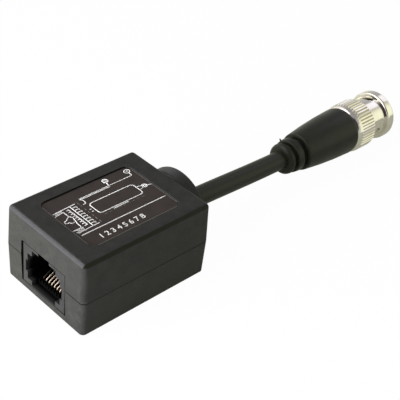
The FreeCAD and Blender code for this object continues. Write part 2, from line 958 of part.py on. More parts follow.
# Insulator and centre pin.
insulator = plug_body("insulator")
turned(
    insulator,
    "insulator_plug",
    [
        (cell("insulator_start"), pin_r),
        (cell("insulator_front") + cell("nose_long"), pin_r),
        (cell("insulator_front") + cell("nose_long"), cell("nose_round")),
        (cell("insulator_front"), cell("nose_round")),
        (cell("insulator_front"), sleeve_in),
        (cell("insulator_start"), sleeve_in),
    ],
)
inner = plug_body("inner_insulation")
bar(inner, "inner_insulation_bar", (cell("cable_end"), cell("insulator_start")), cell("dielectric_round"))
pin = plug_body("centre_pin")
turned(
    pin,
    "pin_rod",
    [
        (cell("insulator_start"), zero),
        (cell("pin_tip"), zero),
        (cell("pin_tip"), pin_r / 2),
        (cell("pin_tip") - pin_r / 2, pin_r * 0.87),
        (cell("pin_tip") - pin_r, pin_r),
        (cell("insulator_start"), pin_r),
    ],
)

# Sealing ring at the root of the contact sleeve.
gasket = plug_body("gasket")
turned(
    gasket,
    "gasket_ring",
    [
        (collar_end, gasket_in),
        (gasket_end, gasket_in),
        (gasket_end, cell("gasket_round")),
        (collar_end, cell("gasket_round")),
    ],
)

# Coupling nut: knurled grip, smooth neck with two cam slots, and front rim.
nut = plug_body("coupling_nut")
nut_start = cell("nut_start")
knurl_start = cell("knurl_start")
knurl_end = knurl_start + cell("knurl_long")
knurl_r = cell("knurl_round")
chamfer = cell("knurl_chamfer")
neck_r = cell("neck_round")
neck_end = cell("neck_end")
rim_r = cell("rim_round")
nut_end = cell("nut_end")
lip_end = nut_start + cell("nut_lip")
turned(
    nut,
    "nut_turning",
    [
        (nut_start, cell("nut_small")),
        (nut_start + cell("nut_chamfer"), cell("nut_shoulder")),
        (knurl_start, knurl_r),
        (knurl_end, knurl_r),
        (knurl_end + chamfer, knurl_r - chamfer),
        (knurl_end + chamfer, neck_r),
        (neck_end, neck_r),
        (neck_end, rim_r - cell("rim_fillet")),
        (neck_end + cell("rim_fillet") * 0.4, rim_r - cell("rim_fillet") * 0.2),
        (neck_end + cell("rim_fillet"), rim_r),
        (nut_end - cell("rim_fillet"), rim_r),
        (nut_end - cell("rim_fillet") * 0.2, rim_r - cell("rim_fillet") * 0.4),
        (nut_end, rim_r - cell("rim_fillet") * 1.4),
        (nut_end, cell("nut_bore") + 0.3),
        (nut_end - 0.3, cell("nut_bore")),
        (cell("nut_cavity_end"), cell("nut_bore")),
        (cell("nut_cavity_end"), cell("nut_cavity")),
        (lip_end, cell("nut_cavity")),
        (lip_end, cell("nut_lip_bore")),
        (nut_start, cell("nut_lip_bore")),
    ],
)
entry = nut.newObject("PartDesign::SubtractiveBox", "lug_entry")
entry.setExpression("Length", (nut_end - cell("slot_start") + 1).text)
entry.setExpression("Width", cell("lug_wide").text)
entry.setExpression("Height", (cell("lug_round") * 2).text)
turn_text = "Sizes.slot_turn_angle"
entry.setExpression(
    "Placement",
    f"placement(vector(Sizes.slot_start; 0; 0); rotation(0; 0; {turn_text}))"
    f" * placement(vector(0; 0 - Sizes.lug_wide / 2; 0 - Sizes.lug_round); rotation(0; 0; 0))",
)
detent = nut.newObject("PartDesign::SubtractiveCylinder", "detent_holes")
detent.setExpression("Radius", cell("detent_round").text)
detent.setExpression("Height", (neck_r * 2 + 1).text)
detent.setExpression(
    "Placement",
    f"placement(vector(Sizes.slot_start - Sizes.slot_travel; 0; 0); rotation(0; 0; {turn_text} + 90))"
    f" * placement(vector(0; 0; 0 - Sizes.neck_round - 0.5); rotation(0; 0; 0))",
)
slot_near = cell("slot_start") - cell("lug_wide") / 2
slot_far = cell("slot_start") + cell("lug_wide") / 2
slot_low = cell("nut_bore") - 0.3
slot_high = neck_r + 0.2
sketch = new_sketch(nut, "cam_slot_section", "XZ_Plane")
sketch.setExpression(
    "AttachmentOffset", "placement(vector(0; 0; 0); rotation(0; 0; Sizes.slot_turn_angle))"
)
outline(
    sketch,
    [(slot_near, slot_low), (slot_far, slot_low), (slot_far, slot_high), (slot_near, slot_high)],
)
cam = nut.newObject("PartDesign::SubtractiveHelix", "cam_slot")
cam.Profile = sketch
cam.ReferenceAxis = (sketch, ["H_Axis"])
cam.Mode = 0
cam.setExpression("Pitch", (cell("slot_travel") * 4).text)
cam.setExpression("Height", cell("slot_travel").text)
cam.Reversed = True
sketch.Visibility = False
doc.recompute()


def around(body, name, feature, count):
    pattern = body.newObject("PartDesign::PolarPattern", name)
    pattern.Originals = [feature]
    pattern.Axis = (origin_plane(body, "X_Axis"), [""])
    pattern.Angle = 360
    pattern.setExpression("Occurrences", count.text)
    body.Tip = pattern
    doc.recompute()
    return pattern


around(nut, "cam_slots", cam, Size(2, "2"))
before = nut.Shape.Volume
sketch = new_sketch(nut, "knurl_section", "YZ_Plane", knurl_start - 0.6)
root = knurl_r - cell("knurl_deep")
crest = cell("knurl_deep") + 0.1
outline(sketch, [(zero, root), (crest, knurl_r + 0.1), (-crest, knurl_r + 0.1)])
groove = pocket(nut, "knurl_groove", sketch, cell("knurl_long") + chamfer + 1, up=True)
around(nut, "knurl", groove, cell("knurl_count"))
print(f"knurling removes {before - nut.Shape.Volume:.2f} mm3")

# Spring washers between the nut's inner lip and the collar.
washer = plug_body("thrust_washer")
turned(
    washer,
    "washer_ring",
    [
        (lip_end, body_r + 0.1),
        (lip_end + cell("washer_thick"), body_r + 0.1),
        (lip_end + cell("washer_thick"), cell("washer_round")),
        (lip_end, cell("washer_round")),
    ],
)
wave = plug_body("wave_washer")
turned(
    wave,
    "wave_ring",
    [
        (collar_start - cell("wave_thick"), body_r),
        (collar_start, body_r),
        (collar_start, cell("flange_round") - 0.1),
        (collar_start - cell("wave_thick"), cell("flange_round") - 0.1),
    ],
)

doc.recompute()
os.makedirs("parts", exist_ok=True)
problems = []
for item in doc.Objects:
    if "Invalid" in item.State or "Error" in item.State:
        problems.append(f"{item.Name} {item.State}")
for node in nodes:
    if node.Shape.isNull() or not node.Shape.isValid():
        problems.append(f"{node.Label} has no valid shape")
if problems:
    raise RuntimeError("; ".join(problems))
for node in nodes:
    node.Shape.exportStep(f"parts/{node.Label}.step")
    print(f"{node.Label}: {len(node.Shape.Solids)} solid, {node.Shape.Volume:.1f} mm3")
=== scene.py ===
import math

import bmesh
import bpy
from mathutils import Matrix, Vector


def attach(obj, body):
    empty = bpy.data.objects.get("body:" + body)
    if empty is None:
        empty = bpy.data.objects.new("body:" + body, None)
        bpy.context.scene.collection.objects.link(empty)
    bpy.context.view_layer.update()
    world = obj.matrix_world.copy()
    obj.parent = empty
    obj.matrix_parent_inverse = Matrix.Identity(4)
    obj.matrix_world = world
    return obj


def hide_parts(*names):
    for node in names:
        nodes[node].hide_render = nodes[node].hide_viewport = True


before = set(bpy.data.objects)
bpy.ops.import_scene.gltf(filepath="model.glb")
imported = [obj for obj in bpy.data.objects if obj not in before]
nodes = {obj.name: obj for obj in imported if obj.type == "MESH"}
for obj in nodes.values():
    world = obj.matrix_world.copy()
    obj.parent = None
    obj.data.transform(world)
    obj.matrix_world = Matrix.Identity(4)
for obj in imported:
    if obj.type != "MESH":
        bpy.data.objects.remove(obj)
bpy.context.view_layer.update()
print("frame loaded")


def mm(*values):
    return tuple(value * 0.001 for value in values)


# Camera, at the photograph's angle

cameraSetup = {
    "place": (-128.533, -143.691, 164.355),
    "azimuth": -47.536,
    "elevation": 36.246,
    "roll": 6.516,
    "lens": 93.18,
}


def aimCamera(look):
    azimuth, elevation, roll = (
        math.radians(look[name]) for name in ("azimuth", "elevation", "roll")
    )
    back = Vector(
        (
            math.sin(azimuth) * math.cos(elevation),
            -math.cos(azimuth) * math.cos(elevation),
            math.sin(elevation),
        )
    )
    right = Vector((math.cos(azimuth), math.sin(azimuth), 0))
    up = back.cross(right)
    across = right * math.cos(roll) + up * math.sin(roll)
    upward = up * math.cos(roll) - right * math.sin(roll)
    data = bpy.data.cameras.new("photoCamera")
    data.lens = look["lens"]
    data.sensor_width = 36
    data.clip_start = 0.01
    data.clip_end = 20
    camera = bpy.data.objects.new("photoCamera", data)
    turn = Matrix((across, upward, back)).transposed().to_4x4()
    camera.matrix_world = Matrix.Translation(mm(*look["place"])) @ turn
    bpy.context.scene.collection.objects.link(camera)
    bpy.context.scene.camera = camera


aimCamera(cameraSetup)


# Shader helpers


def addNode(tree, kind, values=None, **settings):
    made = tree.nodes.new(kind)
    for name, value in settings.items():
        setattr(made, name, value)
    for name, value in (values or {}).items():
        made.inputs[name].default_value = value
    return made


def plug(tree, start, startName, end, endName):
    tree.links.new(start.outputs[startName], end.inputs[endName])


def startMaterial(name, colour):
    material = bpy.data.materials.new(name)
    material.use_nodes = True
    material.diffuse_color = (*colour, 1)
    tree = material.node_tree
    return material, tree, tree.nodes["Principled BSDF"]


def surfacePoint(tree, stretch=(1, 1, 1), turn=(0, 0, 0)):
    # Object coordinates, turned and stretched so that a grain can run one way.
    place = addNode(tree, "ShaderNodeTexCoord")
    mapping = addNode(tree, "ShaderNodeMapping", {"Scale": stretch, "Rotation": turn})
    plug(tree, place, "Object", mapping, "Vector")
    return mapping


def noise(tree, point, size, detail=2.0, roughness=0.5):
    made = addNode(
        tree,
        "ShaderNodeTexNoise",
        {"Scale": 1 / size, "Detail": detail, "Roughness": roughness},
    )
    plug(tree, point, "Vector", made, "Vector")
    return made


def spread(tree, source, low, high, start=0.3, end=0.7):
    # A noise value spread over a range of another value.
    made = addNode(
        tree,
        "ShaderNodeMapRange",
        {"From Min": start, "From Max": end, "To Min": low, "To Max": high},
    )
    plug(tree, source, "Fac", made, "Value")
    return made


def tint(tree, source, dark, light, start=0.35, end=0.65):
    ramp = addNode(tree, "ShaderNodeValToRGB")
    ramp.color_ramp.elements[0].position = start
    ramp.color_ramp.elements[0].color = (*dark, 1)
    ramp.color_ramp.elements[1].position = end
    ramp.color_ramp.elements[1].color = (*light, 1)
    plug(tree, source, "Fac", ramp, "Fac")
    return ramp


def bump(tree, source, depth, strength, before=None, output="Fac"):
    made = addNode(tree, "ShaderNodeBump", {"Distance": depth, "Strength": strength})
    plug(tree, source, output, made, "Height")
    if before is not None:
        plug(tree, before, "Normal", made, "Normal")
    return made


def shade(colour, factor):
    return tuple(min(1, part * factor) for part in colour)


def mouldedPlastic(name, look):
    # Plastic or rubber: a fine tool texture over soft clouds of colour and gloss.
    material, tree, surface = startMaterial(name, look["colour"])
    point = surfacePoint(tree, look.get("stretch", (1, 1, 1)))
    clouds = noise(tree, point, look["cloudSize"], 5, look.get("mottle", 0.5))
    grain = noise(tree, point, look["grainSize"], 2, 0.6)
    pits = addNode(tree, "ShaderNodeTexVoronoi", {"Scale": 1 / (look["grainSize"] * 2.3)})
    plug(tree, point, "Vector", pits, "Vector")
    shadeRange = look.get("shadeRange", 0.12)
    ramp = tint(
        tree,
        clouds,
        shade(look["colour"], 1 - shadeRange),
        shade(look.get("warm", look["colour"]), 1 + shadeRange),
    )
    plug(tree, ramp, "Color", surface, "Base Color")
    rough, reach = look["roughness"], look["glossRange"]
    gloss = spread(tree, clouds, rough - reach, rough + reach)
    plug(tree, gloss, "Result", surface, "Roughness")
    fine = bump(tree, grain, look["grainDepth"], look["grainStrength"])
    deep = bump(tree, pits, look["grainDepth"], look["grainStrength"] * 0.5, fine, "Distance")
    plug(tree, deep, "Normal", surface, "Normal")
    surface.inputs["Specular IOR Level"].default_value = look["specular"]
    return material


maskFade = 0.0001  # metres over which a mask goes from nothing to all


def axisRange(tree, socket, low, high, start, end):
    # A value that runs from start to end as a coordinate runs from low to high.
    made = addNode(
        tree,
        "ShaderNodeMapRange",
        {"From Min": low, "From Max": high, "To Min": start, "To Max": end},
        interpolation_type="SMOOTHSTEP",
    )
    tree.links.new(socket, made.inputs["Value"])
    return made.outputs["Result"]


def combine(tree, operation, first, *others):
    # A row of Math nodes over all the values, or one node for a single value.
    result = first
    for other in others or (None,):
        made = addNode(tree, "ShaderNodeMath", operation=operation)
        tree.links.new(result, made.inputs[0])
        if other is not None:
            tree.links.new(other, made.inputs[1])
        result = made.outputs["Value"]
    return result


def allOf(tree, *masks):
    return combine(tree, "MULTIPLY", *masks)


def anyOf(tree, *masks):
    return combine(tree, "MAXIMUM", *masks)


def mixColours(tree, factor, first, second, blend="MIX"):
    # Each colour is a plain one or another node's output.
    mix = addNode(tree, "ShaderNodeMix", data_type="RGBA", blend_type=blend)
    tree.links.new(factor, mix.inputs[0])
    for number, colour in ((6, first), (7, second)):  # the node's two colour inputs
        if isinstance(colour, tuple):
            mix.inputs[number].default_value = (*colour, 1)
        else:
            tree.links.new(colour, mix.inputs[number])
    return mix.outputs[2]


def objectAxes(tree, output="Object"):
    place = addNode(tree, "ShaderNodeTexCoord")
    split = addNode(tree, "ShaderNodeSeparateXYZ")
    plug(tree, place, output, split, "Vector")
    return split.outputs["X"], split.outputs["Y"], split.outputs["Z"]


def recolour(material, mask, colour, blend="MIX"):
    # Puts another colour over the material where the mask is one.
    tree = material.node_tree
    base = tree.nodes["Principled BSDF"].inputs["Base Color"]
    tree.links.new(mixColours(tree, mask, base.links[0].from_socket, colour, blend), base)


def deepen(material, mask, darkest):
    # Takes the colour down where the mask is one.
    recolour(material, mask, (darkest, darkest, darkest), "MULTIPLY")


def turnedMetal(name, look):
    # Plated or drawn metal: fine tool lines that run one way, and a faint tarnish.
    material, tree, surface = startMaterial(name, look["colour"])
    lines = noise(
        tree, surfacePoint(tree, look["stretch"], look.get("turn", (0, 0, 0))), look["lineSize"], 2
    )
    clouds = noise(tree, surfacePoint(tree), look["cloudSize"], 3)
    ramp = tint(tree, clouds, look["tarnish"], look["colour"], 0.3, 0.6)
    plug(tree, ramp, "Color", surface, "Base Color")
    gloss = spread(tree, lines, look["roughness"] * 0.75, look["roughness"] * 1.35)
    plug(tree, gloss, "Result", surface, "Roughness")
    scratch = bump(tree, lines, look["lineDepth"], look["lineStrength"])
    plug(tree, scratch, "Normal", surface, "Normal")
    surface.inputs["Metallic"].default_value = 1
    return material


# Mesh helpers


def addPiece(name, mesh, material, body, replaced=()):
    piece = bpy.data.objects.new(name, mesh)
    bpy.context.scene.collection.objects.link(piece)
    piece.data.materials.clear()
    piece.data.materials.append(material)
    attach(piece, body)
    if replaced:
        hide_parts(*replaced)
    return piece


def evaluated(piece):
    # The mesh of a piece with its modifiers applied.
    bpy.context.view_layer.update()
    graph = bpy.context.evaluated_depsgraph_get()
    return bpy.data.meshes.new_from_object(piece.evaluated_get(graph))


weldDistance = 0.000002
flatAngle = 0.3  # faces that bend less than this many degrees become one


def softenEdges(mesh, width, sharpAngle):
    # Breaks every sharp edge with a narrow round, as a mould does.
    maker = bpy.data.objects.new("maker", mesh)
    bpy.context.scene.collection.objects.link(maker)
    bevel = maker.modifiers.new("edge", "BEVEL")
    bevel.width = width
    bevel.segments = 2
    bevel.limit_method = "ANGLE"
    bevel.angle_limit = math.radians(sharpAngle)
    bevel.miter_outer = "MITER_ARC"
    weighted = maker.modifiers.new("normals", "WEIGHTED_NORMAL")
    weighted.keep_sharp = True
    weighted.weight = 80
    done = evaluated(maker)
    bpy.data.objects.remove(maker)
    return done


def refinedMesh(nodeName, width, sharpAngle=36):
    # The node's own shape, merged, with round shading and broken edges.
    built = bmesh.new()
    built.from_mesh(nodes[nodeName].data)
    bmesh.ops.remove_doubles(built, verts=built.verts, dist=weldDistance)
    bmesh.ops.dissolve_limit(
        built, angle_limit=math.radians(flatAngle), verts=built.verts, edges=built.edges
    )
    for face in built.faces:
        face.smooth = True
    mesh = bpy.data.meshes.new(nodeName + "Mesh")
    built.to_mesh(mesh)
    built.free()
    if "custom_normal" in mesh.attributes:
        mesh.attributes.remove(mesh.attributes["custom_normal"])
    for edge in mesh.edges:
        edge.use_edge_sharp = False
    return softenEdges(mesh, width, sharpAngle)


def roundedProfile(points):
    # A profile of (station, radius, corner radius) with its corners rounded.
    done = []
    count = len(points)
    for index, (x, y, corner) in enumerate(points):
        here = Vector((x, y))
        before = Vector(points[index - 1][:2]) - here
        after = Vector(points[(index + 1) % count][:2]) - here
        if not corner:
            done.append(here)
            continue
        opening = before.angle(after)
        cut = min(
            corner / math.tan(opening / 2), before.length * 0.49, after.length * 0.49
        )
        start = here + before.normalized() * cut
        end = here + after.normalized() * cut
        steps = max(2, round((math.pi - opening) / math.radians(18)))
        for step in range(steps + 1):
            along = step / steps
            first = start.lerp(here, along)
            second = here.lerp(end, along)
            done.append(first.lerp(second, along))
    return done


def lathe(name, profile, turns, place, spur, sharpAngle=50):
    # A closed profile turned about the plug's axis, with one spur of mould flash.
    built = bmesh.new()
    rings = []
    for step in range(turns):
        angle = 2 * math.pi * step / turns
        ring = []
        for station, radius in profile:
            point = Vector((station, radius * math.cos(angle), radius * math.sin(angle)))
            ring.append(built.verts.new(place @ (point * 0.001)))
        rings.append(ring)
    count = len(profile)
    for step in range(turns):
        near = rings[step]
        far = rings[(step + 1) % turns]
        for index in range(count):
            following = (index + 1) % count
            built.faces.new((near[index], near[following], far[following], far[index]))
    bmesh.ops.remove_doubles(built, verts=built.verts, dist=1e-7)
    station, low, high, wide, tip, around = spur
    upright = Matrix.Rotation(math.radians(around), 4, "X")
    lift = Matrix.Translation(mm(station, 0, (low + high) / 2))
    bmesh.ops.create_cone(
        built,
        cap_ends=True,
        segments=12,
        radius1=wide * 0.001,
        radius2=tip * 0.001,
        depth=(high - low) * 0.001,
        matrix=place @ upright @ lift,
    )
    bmesh.ops.recalc_face_normals(built, faces=built.faces)
    for face in built.faces:
        face.smooth = True
    limit = math.radians(sharpAngle)
    for edge in built.edges:
        edge.smooth = len(edge.link_faces) == 2 and edge.calc_face_angle(0) < limit
    mesh = bpy.data.meshes.new(name)
    built.to_mesh(mesh)
    built.free()
    return mesh


# Geometry node helpers


def startTree(name, inputs):
    tree = bpy.data.node_groups.new(name, "GeometryNodeTree")
    tree.interface.new_socket(
        name="Geometry", in_out="INPUT", socket_type="NodeSocketGeometry"
    )
    for label, (kind, value) in inputs.items():
        made = tree.interface.new_socket(
            name=label, in_out="INPUT", socket_type=f"NodeSocket{kind}"
        )
        if value is not None:
            made.default_value = value
    tree.interface.new_socket(
        name="Geometry", in_out="OUTPUT", socket_type="NodeSocketGeometry"
    )
    return tree, tree.nodes.new("NodeGroupInput"), tree.nodes.new("NodeGroupOutput")


def endTree(tree, source, sourceName, given, output):
    realize = addNode(tree, "GeometryNodeRealizeInstances")
    paint = addNode(tree, "GeometryNodeSetMaterial")
    plug(tree, source, sourceName, realize, "Geometry")
    plug(tree, realize, "Geometry", paint, "Geometry")
    plug(tree, given, "Finish", paint, "Material")
    plug(tree, paint, "Geometry", output, "Geometry")


def growMesh(tree, base, values):
    # Runs a tree on a base object and keeps only the plain mesh.
    modifier = base.modifiers.new("grow", "NODES")
    modifier.node_group = tree
    for item in tree.interface.items_tree:
        if item.item_type == "SOCKET" and item.in_out == "INPUT" and item.name in values:
            modifier[item.identifier] = values[item.name]
    mesh = evaluated(base)
    bpy.data.objects.remove(base)
    return mesh


def lineObject(paths):
    # One curve object with a straight-sided spline for each path, in mm.
    data = bpy.data.curves.new("paths", "CURVE")
    data.dimensions = "3D"
    for points, closed in paths:
        spline = data.splines.new("POLY")
        spline.points.add(len(points) - 1)
        for spot, place in zip(spline.points, points):
            spot.co = (*mm(*place), 1)
        spline.use_cyclic_u = closed
    base = bpy.data.objects.new("paths", data)
    bpy.context.scene.collection.objects.link(base)
    return base


# Cable, from the cover's boss to the plug's boot

cableSettings = {
    "route": ((11.3, 0, 10.2), (22.5, 0, 10.2), (54.46, 0, 8.38), (66.451, 0.335, 8.062)),
    "exit": (20.9, 0, 10.2),
    "radius": 2.6,
    "length": 55.2,
    "jacket": {
        "colour": (0.0160, 0.0178, 0.0118),
        "warm": (0.0178, 0.0189, 0.0118),
        "roughness": 0.4,
        "glossRange": 0.05,
        "specular": 0.28,
        "stretch": (0.12, 1, 1),
        "cloudSize": 0.0022,
        "grainSize": 0.0004,
        "grainDepth": 0.00004,
        "grainStrength": 0.35,
    },
}


def makeCable(settings):
    data = bpy.data.curves.new("coaxCable", "CURVE")
    data.dimensions = "3D"
    data.bevel_depth = settings["radius"] * 0.001
    data.bevel_resolution = 10
    data.use_fill_caps = True
    spline = data.splines.new("NURBS")
    spline.points.add(len(settings["route"]) - 1)
    for spot, place in zip(spline.points, settings["route"]):
        spot.co = (*mm(*place), 1)
    spline.order_u = 3
    spline.use_endpoint_u = True
    spline.resolution_u = 16
    cable = bpy.data.objects.new("coaxCable", data)
    bpy.context.scene.collection.objects.link(cable)
    data.materials.append(mouldedPlastic("cableJacket", settings["jacket"]))
    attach(cable, "adapter")
    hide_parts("cable")
    return cable


coaxCable = makeCable(cableSettings)
print("cable laid")


# The two housing shells

shellSettings = {
    "edgeRound": 0.00011,
    "seam": 9.9,
    # Painted shade in the seam, on the window's walls and on the recess's far wall.
    "seamWide": (0.07, 0.25),
    "shellShadeDark": 0.2,
    "window": (8.6, 2.0, 14.2),  # half width, foot and head
    "windowWalls": (0.3, 0.7),  # how much a face looks along X
    "windowFront": (-20.5, -20.2),
    "windowBack": (-3.0, -2.0),
    "recess": (9.4, 20.1),  # its start along Y and its floor's height
    "recessWall": (-0.6, -0.3),  # how much a face looks along Y
    "edgeSlope": (0.18, 0.35, 0.88, 0.97),  # how much a face looks up, from the side to the top
    "edgeFacing": (-0.45, -0.2),
    # Painted highlight on the front top edge, and painted shade on the side top edge.
    "frontEdgeHighlight": (0.0385, 0.0380, 0.0392),
    "sideEdgeShade": (0.0060, 0.0068, 0.0028),
    "backEdge": 17.45,
    "bossUpward": (0.3, 0.7),
    "bossFarSide": (-0.25, 0.35),
    # Painted highlight on top of the boss.
    "bossHighlight": (0.0620, 0.0640, 0.0670),
    "plastic": {
        "colour": (0.0207, 0.0209, 0.0206),
        "warm": (0.0223, 0.0220, 0.0200),
        "roughness": 0.5,
        "glossRange": 0.07,
        "specular": 0.2,
        "shadeRange": 0.24,
        "mottle": 0.8,
        "cloudSize": 0.003,
        "grainSize": 0.0004,
        "grainDepth": 0.00006,
        "grainStrength": 0.55,
    },
}


def shellShadeMask(tree, settings):
    # Painted shade along the line where the shells meet, on the socket window's walls and on the
    # label recess's far wall.
    x, y, z = objectAxes(tree)
    xFacing, yFacing, zFacing = objectAxes(tree, "Normal")
    above = addNode(tree, "ShaderNodeMath", {1: settings["seam"] * 0.001}, operation="SUBTRACT")
    tree.links.new(z, above.inputs[0])
    away = combine(tree, "ABSOLUTE", above.outputs["Value"])
    seam = axisRange(tree, away, *mm(*settings["seamWide"]), 1, 0)
    side, low, high = mm(*settings["window"])
    walls = axisRange(tree, combine(tree, "ABSOLUTE", xFacing), *settings["windowWalls"], 1, 0)
    behind = axisRange(tree, x, *mm(*settings["windowFront"]), 0, 1)
    window = allOf(
        tree,
        axisRange(tree, combine(tree, "ABSOLUTE", y), side, side + maskFade, 1, 0),
        axisRange(tree, z, high, high + maskFade, 1, 0),
        axisRange(tree, z, low - maskFade, low, 0, 1),
        anyOf(tree, walls, behind),
        axisRange(tree, x, *mm(*settings["windowBack"]), 1, 0),
    )
    start, floor = mm(*settings["recess"])
    recess = allOf(
        tree,
        axisRange(tree, y, start, start + maskFade, 0, 1),
        axisRange(tree, z, floor, floor + maskFade, 0, 1),
        axisRange(tree, yFacing, *settings["recessWall"], 1, 0),
    )
    return anyOf(tree, seam, window, recess)


def finishShells(plastic, settings):
    # Painted highlight on the rounded front top edge, painted shade on the rounded side top edge,
    # a painted highlight on top of the boss, and painted shade in the gaps.
    tree = plastic.node_tree
    xFacing, yFacing, zFacing = objectAxes(tree, "Normal")
    x = objectAxes(tree)[0]
    low, slope, steep, high = settings["edgeSlope"]
    backEdge = settings["backEdge"] * 0.001
    edges = allOf(
        tree,
        axisRange(tree, zFacing, low, slope, 0, 1),
        axisRange(tree, zFacing, steep, high, 1, 0),
        axisRange(tree, x, backEdge, backEdge + maskFade, 1, 0),
    )
    # Painted highlight on the front top edge, painted shade on the side top edge.
    for facing, tone in ((xFacing, "frontEdgeHighlight"), (yFacing, "sideEdgeShade")):
        toward = axisRange(tree, facing, *settings["edgeFacing"], 1, 0)
        recolour(plastic, allOf(tree, edges, toward), settings[tone])
    # Painted highlight on top of the boss, on its far side.
    bossHighlight = allOf(
        tree,
        axisRange(tree, zFacing, *settings["bossUpward"], 0, 1),
        axisRange(tree, yFacing, *settings["bossFarSide"], 0, 1),
        axisRange(tree, x, backEdge, backEdge + maskFade, 0, 1),
    )
    recolour(plastic, bossHighlight, settings["bossHighlight"])
    deepen(plastic, shellShadeMask(tree, settings), settings["shellShadeDark"])


housingPlastic = mouldedPlastic("housingPlastic", shellSettings["plastic"])
finishShells(housingPlastic, shellSettings)
for nodeName, pieceName in (("upper_shell", "coverShell"), ("lower_shell", "trayShell")):
    addPiece(
        pieceName,
        refinedMesh(nodeName, shellSettings["edgeRound"]),
        housingPlastic,
        "adapter",
        [nodeName],
    )
print("shells moulded")


# Modular socket: housing, comb and sprung wires

socketSettings = {
    "edgeRound": 0.00012,
    "combRound": 0.00004,
    # Painted shade deep in the socket and in the gap at its foot and far side.
    "depth": (-20.75, -19.1),
    "depthShadeDark": 0.02,
    "sill": (2.68, 2.76),
    "farSide": (7.4, 7.48),
    "gapShadeDark": 0.02,
    "plastic": {
        "colour": (0.0220, 0.0214, 0.0214),
        "roughness": 0.42,
        "glossRange": 0.05,
        "specular": 0.16,
        "cloudSize": 0.003,
        "grainSize": 0.0003,
        "grainDepth": 0.00001,
        "grainStrength": 0.3,
    },
    # The comb's own black plastic, taken much darker still as painted shade deep in the socket.
    "comb": {
        "colour": (0.0015, 0.0015, 0.0015),
        "roughness": 0.5,
        "glossRange": 0.05,
        "specular": 0.08,
        "cloudSize": 0.002,
        "grainSize": 0.0003,
        "grainDepth": 0.00001,
        "grainStrength": 0.3,
    },
}


def finishSocket(plastic, settings):
    # Painted shade: darker with depth into the socket, and in the gap around it at its foot and
    # its far side.
    tree = plastic.node_tree
    x, y, z = objectAxes(tree)
    deepen(plastic, axisRange(tree, x, *mm(*settings["depth"]), 0, 1), settings["depthShadeDark"])
    gap = anyOf(
        tree,
        axisRange(tree, z, *mm(*settings["sill"]), 1, 0),
        axisRange(tree, y, *mm(*settings["farSide"]), 0, 1),
    )
    deepen(plastic, gap, settings["gapShadeDark"])


socketPlastic = mouldedPlastic("socketPlastic", socketSettings["plastic"])
finishSocket(socketPlastic, socketSettings)
addPiece(
    "socketBlock",
    refinedMesh("jack_housing", socketSettings["edgeRound"]),
    socketPlastic,
    "adapter",
    ["jack_housing"],
)
addPiece(
    "wireComb",
    refinedMesh("contact_comb", socketSettings["combRound"]),
    mouldedPlastic("shadedCombPlastic", socketSettings["comb"]),
    "adapter",
    ["contact_comb"],
)

wireSettings = {
    "radius": 0.225,
    "pitch": 1.016,
    "count": 8,
    "bend": 0.7,
    "hairpin": 0.55,
    "front": -17.4,
    "end": (-10.6, 8.86),
    "level": 3.56,
    "foot": 1.41,
    "rows": (-8.0, -6.2),
    "shaded": (2.8, 3.2),
    "shadedDark": 0.08,
    "gold": {
        "colour": (1.0, 0.9, 0.75),
        "tarnish": (0.9, 0.72, 0.53),
        "roughness": 0.22,
        "stretch": (1, 1, 1),
        "lineSize": 0.0002,
        "lineDepth": 0.000004,
        "lineStrength": 0.3,
        "cloudSize": 0.0012,
    },
}


def wireTree():
    # A round wire swept along its path, then repeated across the comb.
    tree, given, output = startTree(
        "sprungWires",
        {
            "Radius": ("Float", 0.0002),
            "Pitch": ("Float", 0.002),
            "First": ("Float", 0.0),
            "Count": ("Int", 4),
            "Finish": ("Material", None),
        },
    )
    section = addNode(tree, "GeometryNodeCurvePrimitiveCircle", {"Resolution": 14})
    sweep = addNode(tree, "GeometryNodeCurveToMesh", {"Fill Caps": True})
    smooth = addNode(tree, "GeometryNodeSetShadeSmooth")
    start = addNode(tree, "ShaderNodeCombineXYZ")
    step = addNode(tree, "ShaderNodeCombineXYZ")
    row = addNode(tree, "GeometryNodeMeshLine", mode="OFFSET")
    copies = addNode(tree, "GeometryNodeInstanceOnPoints")
    plug(tree, given, "Radius", section, "Radius")
    plug(tree, given, "Geometry", sweep, "Curve")
    plug(tree, section, "Curve", sweep, "Profile Curve")
    plug(tree, sweep, "Mesh", smooth, "Geometry")
    plug(tree, given, "First", start, "Y")
    plug(tree, given, "Pitch", step, "Y")
    plug(tree, given, "Count", row, "Count")
    plug(tree, start, "Vector", row, "Start Location")
    plug(tree, step, "Vector", row, "Offset")
    plug(tree, row, "Mesh", copies, "Points")
    plug(tree, smooth, "Geometry", copies, "Instance")
    endTree(tree, copies, "Instances", given, output)
    return tree


def wirePath(look, row):
    # Pin, heel, run, hairpin and sprung end, as points in the X-Z plane.
    points = [(row, 0, look["foot"])]
    for step in range(7):
        angle = math.radians(15 * step)
        x = row - look["bend"] + look["bend"] * math.cos(angle)
        z = look["level"] - look["bend"] + look["bend"] * math.sin(angle)
        points.append((x, 0, z))
    endX, endZ = look["end"]
    rise = endZ - look["level"] - look["hairpin"]
    reach = endX - look["front"]
    slope = math.atan2(rise, reach) - math.asin(look["hairpin"] / math.hypot(rise, reach))
    for step in range(13):
        angle = math.radians(270) - (math.radians(180) - slope) * step / 12
        x = look["front"] + look["hairpin"] * math.cos(angle)
        z = look["level"] + look["hairpin"] + look["hairpin"] * math.sin(angle)
        points.append((x, 0, z))
    points.append((endX, 0, endZ))
    return points


sprungWires = wireTree()
contactGold = turnedMetal("contactGold", wireSettings["gold"])
goldTree = contactGold.node_tree
